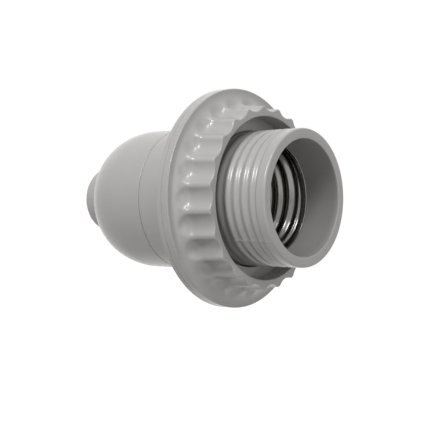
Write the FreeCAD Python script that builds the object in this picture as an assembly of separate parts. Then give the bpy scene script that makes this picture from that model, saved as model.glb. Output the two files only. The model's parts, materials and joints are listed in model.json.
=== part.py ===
import FreeCAD, Part
import math
import os

# A screw-in lamp holder with a threaded neck and a scalloped shade ring.
# Millimetres. The lamp axis is X: x = 0 is the end of the cord entry, the mouth opens towards +X, Z is up.
# Turns are counted from +Y towards +Z, so a right-hand thread moves towards +X as its turn grows.

os.makedirs("parts", exist_ok=True)

# Lengths along the axis
CAP_LENGTH = 30.5
SKIRT_LENGTH = 15.3
FLANGE_THICK = 1.47
NECK_LENGTH = 22.53
SEAM_GAP = 0.12

# Rear cap
CAP_R = 18.65
CAP_WALL = 2.2
DOME_LENGTH = 15.0
NUB_R = 8.9
NUB_LENGTH = 7.0
NUB_EDGE_ROUND = 1.3
NUB_ROOT_ROUND = 2.0
SPIGOT_LENGTH = 5.05
SPIGOT_WALL = 1.75
SPIGOT_LEDGE = 2.0
SEAM_CHAMFER = 0.25

# Cord entry, tapped for an M10 x 1 nipple, and its lock screw
ENTRY_BORE_R = 4.46
LOCK_X = 3.4
LOCK_SCREW_R = 1.45
LOCK_SCREW_LENGTH = 3.2
LOCK_SCREW_SUNK = 0.45
LOCK_SLOT_WIDTH = 0.5
LOCK_SLOT_DEPTH = 0.8

# Front sleeve
SKIRT_R = 18.7
SKIRT_WALL = 2.25
SHOULDER_FROM_SEAM = 6.8
SHELL_BORE_R = 14.15
MOUTH_R = 14.67
MOUTH_ROUND = 0.3
FLANGE_R = 28.3
FLANGE_EDGE_ROUND = 0.2
FLANGE_ROOT_ROUND = 9.0

# Outer thread of the neck
NECK_THREAD_R = 17.25
NECK_THREAD_DEPTH = 0.42
NECK_THREAD_PITCH = 2.5
NECK_CREST_TO_LIP = 4.2
LEAD_BAND = 2.3
LIP_EDGE_DROP = 0.45

# Shade ring
RING_SEAT_GAP = 0.05
RING_RIM_THICK = 2.0
RING_HEIGHT = 10.8
RING_EDGE_ROUND = 0.25
RING_DISC_RISE = 0.3
COLLAR_BASE_R = 24.0
COLLAR_DRAFT = 0.7
COLLAR_WALL = 2.56
COLLAR_ROOT_ROUND = 4.0
COLLAR_BORE_DEPTH = 5.2
SCOOP_COUNT = 23
SCOOP_R = 4.1
SCOOP_DEPTH = 1.15
SCOOP_END = 2.2
SCOOP_BITE = 0.1
SCOOP_FIRST_TURN_DEG = 8.6

# Lamp shell, rolled from thin sheet
LAMP_THREAD_R = 13.5
LAMP_THREAD_DEPTH = 1.15
LAMP_THREAD_PITCH = 3.629
LAMP_CREST_TO_LIP = 14.4
SHELL_WALL = 0.35
SHELL_DEPTH = 9.64
SHELL_BEAD = 0.22
SHELL_BEAD_LENGTH = 0.7
SHELL_FLOOR_HOLE_R = 9.0

# Contact block
BLOCK_FLANGE_THICK = 1.68
BLOCK_HUB_LENGTH = 5.4
BLOCK_EDGE_ROUND = 0.25
BOSS_HEIGHT = 1.0
BOSS_GAP = 0.4
KEY_WIDTH = 2.4
KEY_DEPTH = 1.0

# Terminals, one above the axis and one below
TERMINAL_WIDTH = 7.0
TERMINAL_INNER_Z = 4.2
TERMINAL_OUTER_Z = 13.2
TERMINAL_THICK = 2.5
POCKET_DEPTH = 1.6
LIVE_SCREW_Z = 10.6
LIVE_RIVET_Z = 6.2
NEUTRAL_SCREW_Z = -6.6
NEUTRAL_RIVET_Z = -11.2
CLAMP_SIDE = 5.0
CLAMP_THICK = 0.8
CLAMP_SEAT_GAP = 0.05
TERMINAL_SCREW_R = 1.45
TERMINAL_HEAD_R = 2.4
TERMINAL_HEAD_HEIGHT = 1.8
TERMINAL_SHANK_LENGTH = 6.4
TERMINAL_SLOT_WIDTH = 0.7
TERMINAL_SLOT_DEPTH = 0.9

# Rivets and the centre contact
RIVET_SHANK_R = 1.0
RIVET_HEAD_R = 1.6
RIVET_HEAD_HEIGHT = 0.55
RIVET_BORE_R = 0.55
NEUTRAL_RIVET_TURN_DEG = -90.0
PLAIN_RIVET_TURNS_DEG = (30.0, 150.0)
LEAF_WIDTH = 5.6
LEAF_THICK = 0.45
LEAF_FOOT = 3.6
LEAF_RISE = 2.6
LEAF_TIP_Z = -3.4
PIP_HEAD_R = 1.7
PIP_HEAD_HEIGHT = 0.8
PIP_HEAD_ROUND = 0.72
PIP_SHANK_R = 0.9
PIP_TAIL_R = 1.3
PIP_TAIL_HEIGHT = 0.4

# Clearances
SCREW_CLEARANCE = 0.05
SPIGOT_CLEARANCE = 0.1
BLOCK_CLEARANCE = 0.2
HUB_CLEARANCE = 0.4
RING_CLEARANCE = 0.1
POCKET_CLEARANCE = 0.2
KEY_CLEARANCE = 0.2
WASHER_CLEARANCE = 0.15
SCREW_WELL_CLEARANCE = 0.35

# How a thread's surface is drawn: its poles around one turn and along one pitch
POLES_AROUND = 24
POLES_PER_PITCH = 6

# How far a cut passes the face that it opens
OVERCUT = 1.0

# Places that follow from the sizes above
SEAM_X = CAP_LENGTH
FLANGE_BACK_X = SEAM_X + SKIRT_LENGTH
FLANGE_FRONT_X = FLANGE_BACK_X + FLANGE_THICK
LIP_X = FLANGE_FRONT_X + NECK_LENGTH
SHOULDER_X = SEAM_X + SHOULDER_FROM_SEAM
SHELL_RIM_X = LIP_X - SHELL_DEPTH
SKIRT_BORE_R = SKIRT_R - SKIRT_WALL
SPIGOT_R = SKIRT_BORE_R - SPIGOT_CLEARANCE
SPIGOT_BORE_R = SPIGOT_R - SPIGOT_WALL
HUB_R = SPIGOT_BORE_R - HUB_CLEARANCE
BLOCK_BACK_X = SHOULDER_X - BLOCK_FLANGE_THICK
HUB_BACK_X = BLOCK_BACK_X - BLOCK_HUB_LENGTH
BOSS_R = SHELL_FLOOR_HOLE_R - BOSS_GAP
BOSS_TOP_X = SHOULDER_X + BOSS_HEIGHT
COLLAR_FRONT_R = COLLAR_BASE_R - COLLAR_DRAFT
COLLAR_BORE_R = COLLAR_FRONT_R - COLLAR_WALL
RING_BACK_X = FLANGE_FRONT_X + RING_SEAT_GAP
RING_FRONT_X = RING_BACK_X + RING_HEIGHT
COLLAR_BASE_X = RING_BACK_X + RING_RIM_THICK + RING_DISC_RISE
RING_BORE_R = NECK_THREAD_R + RING_CLEARANCE
TERMINAL_FRONT_X = HUB_BACK_X + POCKET_DEPTH
TERMINAL_BACK_X = TERMINAL_FRONT_X - TERMINAL_THICK
CLAMP_FRONT_X = TERMINAL_BACK_X - CLAMP_SEAT_GAP
CLAMP_BACK_X = CLAMP_FRONT_X - CLAMP_THICK
LEAF_TOP_X = BOSS_TOP_X + LEAF_THICK
TERMINAL_HOLE_R = TERMINAL_SCREW_R + SCREW_CLEARANCE
RIVET_HOLE_R = RIVET_SHANK_R + SCREW_CLEARANCE
SHELL_RIVET_RING_R = -NEUTRAL_RIVET_Z
NECK_THREAD_FADE = NECK_THREAD_PITCH / 3
LAMP_THREAD_FADE = LAMP_THREAD_PITCH / 3
KEY_BACK_X = SEAM_X + SPIGOT_LENGTH + KEY_CLEARANCE
PIP_SEAT_X = BOSS_TOP_X + LEAF_RISE + LEAF_THICK + SCREW_CLEARANCE
PIP_TAIL_X = BOSS_TOP_X + LEAF_RISE - SCREW_CLEARANCE

AXIS = FreeCAD.Vector(1, 0, 0)
ORIGIN = FreeCAD.Vector(0, 0, 0)


# Shared shapes

def corner_arc(before, corner, after, radius):
    """Start, middle and end of the arc that rounds a corner of an outline."""
    into = (before - corner).normalize()
    away = (after - corner).normalize()
    half = into.getAngle(away) / 2
    reach = radius / math.tan(half)
    middle_way = (into + away).normalize()
    centre = corner + middle_way * (radius / math.sin(half))
    return corner + into * reach, centre - middle_way * radius, corner + away * reach


def turned(corners):
    """A solid turned about the axis. A corner is (x, radius) or (x, radius, rounding)."""
    spots = [FreeCAD.Vector(c[0], 0, c[1]) for c in corners]
    edges = []
    count = len(corners)
    ends = []
    for i, corner in enumerate(corners):
        rounding = corner[2] if len(corner) > 2 else 0
        if rounding > 0:
            start, middle, end = corner_arc(spots[i - 1], spots[i], spots[(i + 1) % count], rounding)
            edges.append(Part.Arc(start, middle, end).toShape())
            ends.append((start, end))
        else:
            ends.append((spots[i], spots[i]))
    for i in range(count):
        start, end = ends[i][1], ends[(i + 1) % count][0]
        if start.distanceToPoint(end) > 1e-6:
            edges.append(Part.LineSegment(start, end).toShape())
    return revolved(edges)


def revolved(edges):
    """A solid turned about the axis from loose edges that close on each other."""
    wire = Part.Wire(Part.__sortEdges__(edges))
    return Part.Face(wire).revolve(ORIGIN, AXIS, 360)


def rod(x0, x1, radius, y=0.0, z=0.0):
    return Part.makeCylinder(radius, x1 - x0, FreeCAD.Vector(x0, y, z), AXIS)


def block(x0, x1, y0, y1, z0, z1):
    return Part.makeBox(x1 - x0, y1 - y0, z1 - z0, FreeCAD.Vector(x0, y0, z0))


def smooth_step(value, low, high):
    share = min(max((value - low) / (high - low), 0.0), 1.0)
    return share * share * (3 - 2 * share)


def swell(poles):
    """How much further out than its curve a wave's poles lie, with this many poles to a wave."""
    return 3 / (2 + math.cos(2 * math.pi / poles))


def threaded_rod(x0, x1, pitch, radius_at):
    """A solid rod whose radius, radius_at(x, turn), follows a thread. A turn is 1 for a whole circle."""
    rows = round((x1 - x0) * POLES_PER_PITCH / pitch)
    poles = []
    for i in range(POLES_AROUND):
        turn = i / POLES_AROUND
        angle = 2 * math.pi * turn
        line = []
        for j in range(rows + 1):
            x = x0 + (x1 - x0) * j / rows
            r = radius_at(x, turn) * swell(POLES_AROUND)
            line.append(FreeCAD.Vector(x, r * math.cos(angle), r * math.sin(angle)))
        poles.append(line)
    degree = 3
    spans = rows + 1 - degree
    surface = Part.BSplineSurface()
    surface.buildFromPolesMultsKnots(
        poles,
        [1] * (POLES_AROUND + 1),
        [degree + 1] + [1] * (spans - 1) + [degree + 1],
        [i / POLES_AROUND for i in range(POLES_AROUND + 1)],
        [j / spans for j in range(spans + 1)],
        True, False, degree, degree)
    side = surface.toShape()
    rims = [edge for edge in side.Edges if edge.BoundBox.XLength < 1e-4]
    shell = Part.Shell([side] + [Part.Face(Part.Wire([rim])) for rim in rims])
    shell.sewShape()
    return Part.Solid(shell)


def ridge(x, turn, crest_x, pitch):
    """1 on the thread's crest and 0 in its groove; crest_x is the crest's place at turn 0."""
    wave = math.cos(2 * math.pi * ((x - crest_x) / pitch - turn))
    return 0.5 + 0.5 * wave * swell(POLES_PER_PITCH)


def rivet(y, z, back_x, front_x):
    """A hollow rivet along the axis, with a flat head at each end."""
    body = rod(back_x, front_x, RIVET_SHANK_R, y, z)
    front_head = rod(front_x, front_x + RIVET_HEAD_HEIGHT, RIVET_HEAD_R, y, z)
    back_head = rod(back_x - RIVET_HEAD_HEIGHT, back_x, RIVET_HEAD_R, y, z)
    bore = rod(back_x - OVERCUT, front_x + OVERCUT, RIVET_BORE_R, y, z)
    return body.fuse([front_head, back_head]).cut(bore).removeSplitter()


def save(name, shape):
    shape.exportStep("parts/" + name + ".step")


# Rear cap

def dome(inset):
    """Outline edge of the dome, a quarter of an ellipse from the nub to the widest ring."""
    centre = FreeCAD.Vector(NUB_LENGTH + DOME_LENGTH, 0, NUB_R)
    foot = centre + FreeCAD.Vector(inset - DOME_LENGTH, 0, 0)
    crown = centre + FreeCAD.Vector(0, 0, CAP_R - NUB_R - inset)
    arc = Part.ArcOfEllipse(Part.Ellipse(foot, crown, centre), 0, math.pi / 2)
    return foot, arc.toShape(), crown


def lines(*corners):
    spots = [FreeCAD.Vector(x, 0, r) for x, r in corners]
    return [Part.LineSegment(a, b).toShape() for a, b in zip(spots, spots[1:])]


def rounded_rings(shape, x, radius, rounding):
    """Rounds the circular edges that lie at this place on the axis with this radius."""
    picked = []
    for edge in shape.Edges:
        curve = edge.Curve
        if isinstance(curve, Part.Circle) and math.hypot(curve.Radius - radius, curve.Center.x - x) < 0.01:
            picked.append(edge)
    return shape.makeFillet(rounding, picked)


def rear_cap():
    foot, outside, crown = dome(0)
    inner_foot, inside, inner_crown = dome(CAP_WALL)
    spigot_end = SEAM_X + SPIGOT_LENGTH
    ledge_x = SEAM_X - SPIGOT_LEDGE
    edges = [outside, inside]
    edges += lines(
        (crown.x, CAP_R), (SEAM_X - SEAM_CHAMFER, CAP_R), (SEAM_X, CAP_R - SEAM_CHAMFER), (SEAM_X, SPIGOT_R),
        (spigot_end, SPIGOT_R), (spigot_end, SPIGOT_BORE_R), (ledge_x, SPIGOT_BORE_R),
        (ledge_x, CAP_R - CAP_WALL), (inner_crown.x, CAP_R - CAP_WALL))
    edges += lines(
        (inner_foot.x, NUB_R), (inner_foot.x, ENTRY_BORE_R), (0, ENTRY_BORE_R), (0, NUB_R), (foot.x, NUB_R))
    cap = revolved(edges)
    cap = rounded_rings(cap, NUB_LENGTH, NUB_R, NUB_ROOT_ROUND)
    cap = rounded_rings(cap, 0, NUB_R, NUB_EDGE_ROUND)
    hole = Part.makeCylinder(LOCK_SCREW_R + SCREW_CLEARANCE, NUB_R, FreeCAD.Vector(LOCK_X, 0, 0),
                             FreeCAD.Vector(0, 1, 0))
    return cap.cut(hole)


def nipple_lock_screw():
    head_y = NUB_R - LOCK_SCREW_SUNK
    screw = Part.makeCylinder(LOCK_SCREW_R, LOCK_SCREW_LENGTH, FreeCAD.Vector(LOCK_X, head_y, 0),
                              FreeCAD.Vector(0, -1, 0))
    slot = block(LOCK_X - LOCK_SCREW_R, LOCK_X + LOCK_SCREW_R, head_y - LOCK_SLOT_DEPTH, head_y + OVERCUT,
                 -LOCK_SLOT_WIDTH / 2, LOCK_SLOT_WIDTH / 2)
    return screw.cut(slot)


# Front sleeve

def neck_radius(x, turn):
    """Radius of the neck: a plain band at the lip, then the rounded thread."""
    crest_x = LIP_X - NECK_CREST_TO_LIP - NECK_THREAD_PITCH / 2
    fade = smooth_step(LIP_X - LEAD_BAND - x, 0, NECK_THREAD_FADE)
    lip_drop = LIP_EDGE_DROP * smooth_step(x, LIP_X - LIP_EDGE_DROP, LIP_X)
    groove = 1 - ridge(x, turn, crest_x, NECK_THREAD_PITCH)
    return NECK_THREAD_R - NECK_THREAD_DEPTH * fade * groove - lip_drop


def front_sleeve():
    core = turned([
        (SEAM_X + SEAM_GAP, SKIRT_BORE_R),
        (SHOULDER_X, SKIRT_BORE_R),
        (SHOULDER_X, SHELL_BORE_R),
        (FLANGE_FRONT_X, SHELL_BORE_R),
        (FLANGE_FRONT_X, FLANGE_R),
        (FLANGE_BACK_X, FLANGE_R, FLANGE_EDGE_ROUND),
        (FLANGE_BACK_X, SKIRT_R, FLANGE_ROOT_ROUND),
        (SEAM_X + SEAM_GAP, SKIRT_R, SEAM_CHAMFER)])
    neck = threaded_rod(FLANGE_BACK_X + FLANGE_THICK / 2, LIP_X, NECK_THREAD_PITCH, neck_radius)
    bore = turned([
        (SHOULDER_X - OVERCUT, 0),
        (SHOULDER_X - OVERCUT, SHELL_BORE_R),
        (SHELL_RIM_X, SHELL_BORE_R),
        (LIP_X - MOUTH_ROUND, MOUTH_R),
        (LIP_X, MOUTH_R + MOUTH_ROUND),
        (LIP_X + OVERCUT, MOUTH_R + MOUTH_ROUND),
        (LIP_X + OVERCUT, 0)])
    key = block(KEY_BACK_X, SHOULDER_X + KEY_DEPTH, -KEY_WIDTH / 2, KEY_WIDTH / 2,
                SKIRT_BORE_R - KEY_DEPTH, SKIRT_BORE_R + SKIRT_WALL / 2)
    return core.fuse(neck.cut(bore)).fuse(key).removeSplitter()


# Shade ring

def scoop(turn_deg):
    """A round-ended cutter that lies along the collar's slope and hollows one finger scoop in it."""
    slope = math.atan2(COLLAR_BASE_R - COLLAR_FRONT_R, RING_FRONT_X - COLLAR_BASE_X)
    centre = FreeCAD.Vector(0, 0, 0)
    side = FreeCAD.Vector(0, 0, SCOOP_R)
    tip = FreeCAD.Vector(-SCOOP_END, 0, 0)
    edges = [Part.ArcOfEllipse(Part.Ellipse(side, tip, centre), 0, math.pi / 2).toShape()]
    edges += lines((0, SCOOP_R), (RING_HEIGHT, SCOOP_R), (RING_HEIGHT, 0), (-SCOOP_END, 0))
    cutter = revolved(edges)
    cutter.rotate(ORIGIN, FreeCAD.Vector(0, 0, 1), -math.degrees(slope))
    along = SCOOP_END - SCOOP_BITE
    lift = SCOOP_R - SCOOP_DEPTH
    cutter.translate(FreeCAD.Vector(
        COLLAR_BASE_X + along * math.cos(slope) + lift * math.sin(slope),
        COLLAR_BASE_R - along * math.sin(slope) + lift * math.cos(slope),
        0))
    cutter.rotate(ORIGIN, AXIS, turn_deg)
    return cutter


def shade_ring():
    ring = turned([
        (RING_BACK_X, RING_BORE_R),
        (RING_BACK_X, FLANGE_R),
        (RING_BACK_X + RING_RIM_THICK, FLANGE_R, RING_EDGE_ROUND),
        (COLLAR_BASE_X, COLLAR_BASE_R, COLLAR_ROOT_ROUND),
        (RING_FRONT_X, COLLAR_FRONT_R, RING_EDGE_ROUND),
        (RING_FRONT_X, COLLAR_BORE_R, RING_EDGE_ROUND),
        (RING_FRONT_X - COLLAR_BORE_DEPTH, COLLAR_BORE_R),
        (RING_FRONT_X - COLLAR_BORE_DEPTH, RING_BORE_R)])
    step = 360.0 / SCOOP_COUNT
    for i in range(SCOOP_COUNT):
        ring = ring.cut(scoop(SCOOP_FIRST_TURN_DEG + step * i))
    return ring


# Lamp shell

def shell_radius(x, turn, bore):
    """Inside radius (bore True) or outside radius of the rolled shell."""
    crest_x = LIP_X - LAMP_CREST_TO_LIP
    front_fade = smooth_step(SHELL_RIM_X - LAMP_THREAD_FADE - x, 0, LAMP_THREAD_FADE)
    back_fade = smooth_step(x, SHOULDER_X + LAMP_THREAD_FADE, SHOULDER_X + LAMP_THREAD_PITCH)
    crest = front_fade * back_fade * ridge(x, turn, crest_x, LAMP_THREAD_PITCH)
    bead = SHELL_BEAD * smooth_step(x, SHELL_RIM_X - SHELL_BEAD_LENGTH, SHELL_RIM_X)
    inside = LAMP_THREAD_R - LAMP_THREAD_DEPTH * crest + bead
    return inside if bore else inside + SHELL_WALL


def screw_shell():
    outside = threaded_rod(SHOULDER_X, SHELL_RIM_X, LAMP_THREAD_PITCH,
                           lambda x, turn: shell_radius(x, turn, False))
    inside = threaded_rod(SHOULDER_X + SHELL_WALL, SHELL_RIM_X + SHELL_WALL, LAMP_THREAD_PITCH,
                          lambda x, turn: shell_radius(x, turn, True))
    floor_back = SHOULDER_X - OVERCUT
    floor_front = SHOULDER_X + OVERCUT
    holes = [rod(floor_back, floor_front, SHELL_FLOOR_HOLE_R)]
    for y, z in shell_rivet_places():
        holes.append(rod(floor_back, floor_front, RIVET_HOLE_R, y, z))
    return outside.cut(inside).cut(holes)


def on_rivet_ring(turn_deg):
    angle = math.radians(turn_deg)
    return SHELL_RIVET_RING_R * math.cos(angle), SHELL_RIVET_RING_R * math.sin(angle)


def shell_rivet_places():
    return [on_rivet_ring(turn) for turn in (NEUTRAL_RIVET_TURN_DEG,) + PLAIN_RIVET_TURNS_DEG]


def shell_rivets():
    """The neutral rivet also carries the neutral terminal, so it reaches back to that plate."""
    front_x = SHOULDER_X + SHELL_WALL
    rivets = [rivet(*on_rivet_ring(NEUTRAL_RIVET_TURN_DEG), TERMINAL_BACK_X, front_x)]
    rivets += [rivet(*on_rivet_ring(turn), HUB_BACK_X, front_x) for turn in PLAIN_RIVET_TURNS_DEG]
    return Part.Compound(rivets)


# Contact block and what it carries

def pocket(sign):
    """The recess for a terminal, open at the hub's side for the wire."""
    low = TERMINAL_INNER_Z - POCKET_CLEARANCE
    half = TERMINAL_WIDTH / 2 + POCKET_CLEARANCE
    z0, z1 = sorted((sign * low, sign * (HUB_R + OVERCUT)))
    return block(HUB_BACK_X - OVERCUT, TERMINAL_FRONT_X, -half, half, z0, z1)


def contact_block():
    body = turned([
        (HUB_BACK_X, 0),
        (HUB_BACK_X, HUB_R, BLOCK_EDGE_ROUND),
        (BLOCK_BACK_X, HUB_R),
        (BLOCK_BACK_X, SKIRT_BORE_R - BLOCK_CLEARANCE),
        (SHOULDER_X, SKIRT_BORE_R - BLOCK_CLEARANCE),
        (SHOULDER_X, BOSS_R),
        (BOSS_TOP_X, BOSS_R, BLOCK_EDGE_ROUND),
        (BOSS_TOP_X, 0)])
    half_key = KEY_WIDTH / 2 + KEY_CLEARANCE
    well_r = TERMINAL_SCREW_R + SCREW_WELL_CLEARANCE
    well_x = CLAMP_BACK_X + TERMINAL_SHANK_LENGTH + SCREW_WELL_CLEARANCE
    cuts = [pocket(1), pocket(-1)]
    cuts.append(block(BLOCK_BACK_X - OVERCUT, SHOULDER_X + OVERCUT, -half_key, half_key,
                      SKIRT_BORE_R - KEY_DEPTH - KEY_CLEARANCE, SKIRT_BORE_R))
    for z in (LIVE_SCREW_Z, NEUTRAL_SCREW_Z):
        cuts.append(rod(HUB_BACK_X, well_x, well_r, 0, z))
    for y, z in shell_rivet_places() + [(0, LIVE_RIVET_Z)]:
        cuts.append(rod(HUB_BACK_X - OVERCUT, BOSS_TOP_X + OVERCUT, RIVET_HOLE_R, y, z))
    return body.cut(cuts)


def terminal(screw_z, rivet_z):
    """A brass plate with a tapped hole for the wire screw and a plain hole for its rivet."""
    sign = 1 if screw_z > 0 else -1
    z0, z1 = sorted((sign * TERMINAL_INNER_Z, sign * TERMINAL_OUTER_Z))
    half = TERMINAL_WIDTH / 2
    plate = block(TERMINAL_BACK_X, TERMINAL_FRONT_X, -half, half, z0, z1)
    back_x = TERMINAL_BACK_X - OVERCUT
    front_x = TERMINAL_FRONT_X + OVERCUT
    screw_hole = rod(back_x, front_x, TERMINAL_HOLE_R, 0, screw_z)
    rivet_hole = rod(back_x, front_x, RIVET_HOLE_R, 0, rivet_z)
    return plate.cut([screw_hole, rivet_hole])


def wire_clamp(screw_z):
    """The square washer that the screw presses on the wire."""
    half = CLAMP_SIDE / 2
    plate = block(CLAMP_BACK_X, CLAMP_FRONT_X, -half, half, screw_z - half, screw_z + half)
    hole_r = TERMINAL_SCREW_R + WASHER_CLEARANCE
    hole = rod(CLAMP_BACK_X - OVERCUT, CLAMP_FRONT_X + OVERCUT, hole_r, 0, screw_z)
    return plate.cut(hole)


def terminal_screw(screw_z):
    seat_x = CLAMP_BACK_X - CLAMP_SEAT_GAP
    head_x = seat_x - TERMINAL_HEAD_HEIGHT
    head = rod(head_x, seat_x, TERMINAL_HEAD_R, 0, screw_z)
    shank = rod(seat_x, seat_x + TERMINAL_SHANK_LENGTH, TERMINAL_SCREW_R, 0, screw_z)
    slot = block(head_x - OVERCUT, head_x + TERMINAL_SLOT_DEPTH, -TERMINAL_HEAD_R, TERMINAL_HEAD_R,
                 screw_z - TERMINAL_SLOT_WIDTH / 2, screw_z + TERMINAL_SLOT_WIDTH / 2)
    return head.fuse(shank).cut(slot).removeSplitter()


def centre_contact_leaf():
    """A bronze strip: a flat foot on the boss, a sloping tongue and a flat tip under the pip."""
    foot_end = LIVE_RIVET_Z - LEAF_FOOT / 2
    tip_start = PIP_TAIL_R + LEAF_THICK
    low = BOSS_TOP_X
    high = BOSS_TOP_X + LEAF_RISE
    across = math.hypot(foot_end - tip_start, LEAF_RISE)
    lean = LEAF_THICK * across / (foot_end - tip_start)
    spots = [
        (low, LIVE_RIVET_Z + LEAF_FOOT / 2),
        (low, foot_end),
        (high, tip_start),
        (high, LEAF_TIP_Z),
        (high + LEAF_THICK, LEAF_TIP_Z),
        (high + LEAF_THICK, tip_start + lean - LEAF_THICK),
        (low + LEAF_THICK, foot_end + lean - LEAF_THICK),
        (low + LEAF_THICK, LIVE_RIVET_Z + LEAF_FOOT / 2)]
    corners = [FreeCAD.Vector(x, -LEAF_WIDTH / 2, z) for x, z in spots]
    strip = Part.Face(Part.makePolygon(corners + corners[:1])).extrude(FreeCAD.Vector(0, LEAF_WIDTH, 0))
    holes = [rod(low - OVERCUT, low + OVERCUT, RIVET_HOLE_R, 0, LIVE_RIVET_Z)]
    holes.append(rod(high - OVERCUT, high + OVERCUT, PIP_SHANK_R + SCREW_CLEARANCE))
    return strip.cut(holes)


def centre_contact_pip():
    """A domed rivet staked through the leaf's tip; the lamp's centre contact presses on it."""
    return turned([
        (PIP_TAIL_X - PIP_TAIL_HEIGHT, 0),
        (PIP_TAIL_X - PIP_TAIL_HEIGHT, PIP_TAIL_R),
        (PIP_TAIL_X, PIP_TAIL_R),
        (PIP_TAIL_X, PIP_SHANK_R),
        (PIP_SEAT_X, PIP_SHANK_R),
        (PIP_SEAT_X, PIP_HEAD_R),
        (PIP_SEAT_X + PIP_HEAD_HEIGHT, PIP_HEAD_R, PIP_HEAD_ROUND),
        (PIP_SEAT_X + PIP_HEAD_HEIGHT, 0)])


# Write every piece

save("rear_cap", rear_cap())
save("nipple_lock_screw", nipple_lock_screw())
save("front_sleeve", front_sleeve())
save("shade_ring", shade_ring())
save("screw_shell", screw_shell())
save("shell_rivets", shell_rivets())
save("contact_block", contact_block())
save("live_terminal", terminal(LIVE_SCREW_Z, LIVE_RIVET_Z))
save("neutral_terminal", terminal(NEUTRAL_SCREW_Z, NEUTRAL_RIVET_Z))
save("live_wire_clamp", wire_clamp(LIVE_SCREW_Z))
save("neutral_wire_clamp", wire_clamp(NEUTRAL_SCREW_Z))
save("live_terminal_screw", terminal_screw(LIVE_SCREW_Z))
save("neutral_terminal_screw", terminal_screw(NEUTRAL_SCREW_Z))
save("leaf_rivet", rivet(0, LIVE_RIVET_Z, TERMINAL_BACK_X, LEAF_TOP_X))
save("centre_contact_leaf", centre_contact_leaf())
save("centre_contact_pip", centre_contact_pip())
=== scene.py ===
import json
import math

import bmesh
import bpy
import numpy as np
from mathutils import Matrix, Vector


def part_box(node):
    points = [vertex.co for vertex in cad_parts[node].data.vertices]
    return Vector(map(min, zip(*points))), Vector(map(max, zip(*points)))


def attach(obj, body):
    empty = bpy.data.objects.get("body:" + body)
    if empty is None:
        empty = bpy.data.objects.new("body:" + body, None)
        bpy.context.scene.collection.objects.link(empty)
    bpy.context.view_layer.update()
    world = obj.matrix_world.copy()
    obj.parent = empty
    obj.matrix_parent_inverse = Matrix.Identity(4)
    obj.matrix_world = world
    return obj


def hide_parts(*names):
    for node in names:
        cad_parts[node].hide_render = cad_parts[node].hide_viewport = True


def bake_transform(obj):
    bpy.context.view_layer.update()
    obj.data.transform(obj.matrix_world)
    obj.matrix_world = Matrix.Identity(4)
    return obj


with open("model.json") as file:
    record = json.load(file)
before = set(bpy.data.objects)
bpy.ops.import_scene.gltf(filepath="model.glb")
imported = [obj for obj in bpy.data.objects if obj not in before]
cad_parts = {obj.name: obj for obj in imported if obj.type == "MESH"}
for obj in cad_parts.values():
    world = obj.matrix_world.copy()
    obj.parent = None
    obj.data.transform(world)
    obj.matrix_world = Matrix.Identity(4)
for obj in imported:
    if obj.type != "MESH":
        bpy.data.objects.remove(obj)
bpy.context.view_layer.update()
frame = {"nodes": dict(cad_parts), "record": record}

# A screw-in lamp holder. Sizes are in millimetres and places in the frame's axes: the lamp axis is X,
# x = 0 is the end of the cord entry, Z is up, and a turn is counted from +Y towards +Z.
MM = 0.001

# Lengths along the axis
CAP_LENGTH = 30.5
SKIRT_LENGTH = 15.3
FLANGE_THICK = 1.47
NECK_LENGTH = 22.53
SEAM_GAP = 0.12

# Rear cap
CAP_R = 18.65
CAP_WALL = 2.2
DOME_LENGTH = 15.0
NUB_R = 8.9
NUB_LENGTH = 7.0
NUB_EDGE_ROUND = 1.3
NUB_ROOT_ROUND = 2.0
SPIGOT_LENGTH = 5.05
SPIGOT_WALL = 1.75
SPIGOT_LEDGE = 2.0
SPIGOT_R = 16.35
SPIGOT_TIP_ROUND = 0.4
SEAM_EDGE_ROUND = 0.25

# The coarse thread that joins the cap to the sleeve
JOIN_THREAD_PITCH = 1.6
JOIN_THREAD_DEPTH = 0.5
JOIN_THREAD_LEAD = 0.3

# Cord entry, tapped M10 x 1, and its lock screw's hole
ENTRY_BORE_R = 4.46
ENTRY_THREAD_PITCH = 1.0
ENTRY_THREAD_DEPTH = 0.52
ENTRY_LEAD = 0.6
LOCK_X = 3.4
LOCK_HOLE_R = 1.5
LOCK_DRILL_FREE = 2.0

# Front sleeve
SKIRT_R = 18.7
SKIRT_BORE_R = 16.45
SHOULDER_FROM_SEAM = 6.8
SHELL_BORE_R = 14.15
MOUTH_R = 14.67
MOUTH_ROUND = 0.3
LIP_ROUND = 0.5
FLANGE_R = 28.3
FLANGE_EDGE_ROUND = 0.2
FLANGE_FACE_ROUND = 0.06
FLANGE_ROOT_ROUND = 9.0
NECK_THREAD_R = 17.25
NECK_THREAD_DEPTH = 0.42
NECK_THREAD_PITCH = 2.5
NECK_CREST_TO_LIP = 4.2
LEAD_BAND = 2.3
KEY_WIDTH = 2.4
KEY_DEPTH = 1.0
KEY_TURN = 0.25
KEY_SIDE_SLOPE = 0.05
KEY_FROM_SPIGOT = 0.2

# The mould's parting lines along the neck; their places and the blend across them are in turns
PARTING_TURNS = (0.106, 0.606)
PARTING_BLEND = 0.0006
PARTING_STEP = 0.22
FLASH_HEIGHT = 0.09
FLASH_WIDTH = 0.22
FLASH_FADE = 1.0

# Shade ring
RING_SEAT_GAP = 0.05
RING_RIM_THICK = 2.0
RING_HEIGHT = 10.8
RING_EDGE_ROUND = 0.25
RING_DISC_RISE = 0.3
RING_BORE_R = 17.35
RING_THREAD_DEPTH = 0.42
RING_THREAD_PAST = 1.0
COLLAR_FRONT_R = 23.3
COLLAR_BASE_R = 24.0
COLLAR_BORE_R = 20.74
COLLAR_ROOT_ROUND = 4.0
COLLAR_BORE_DEPTH = 5.2
SCOOP_COUNT = 23
SCOOP_R = 4.1
SCOOP_DEPTH = 1.15
SCOOP_END = 2.2
SCOOP_BITE = 0.1
SCOOP_FIRST_TURN_DEG = 8.6
SCOOP_EDGE = 0.25
SCOOP_END_BLEND = 1.0
SCOOP_GATHER = 0.09

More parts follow.
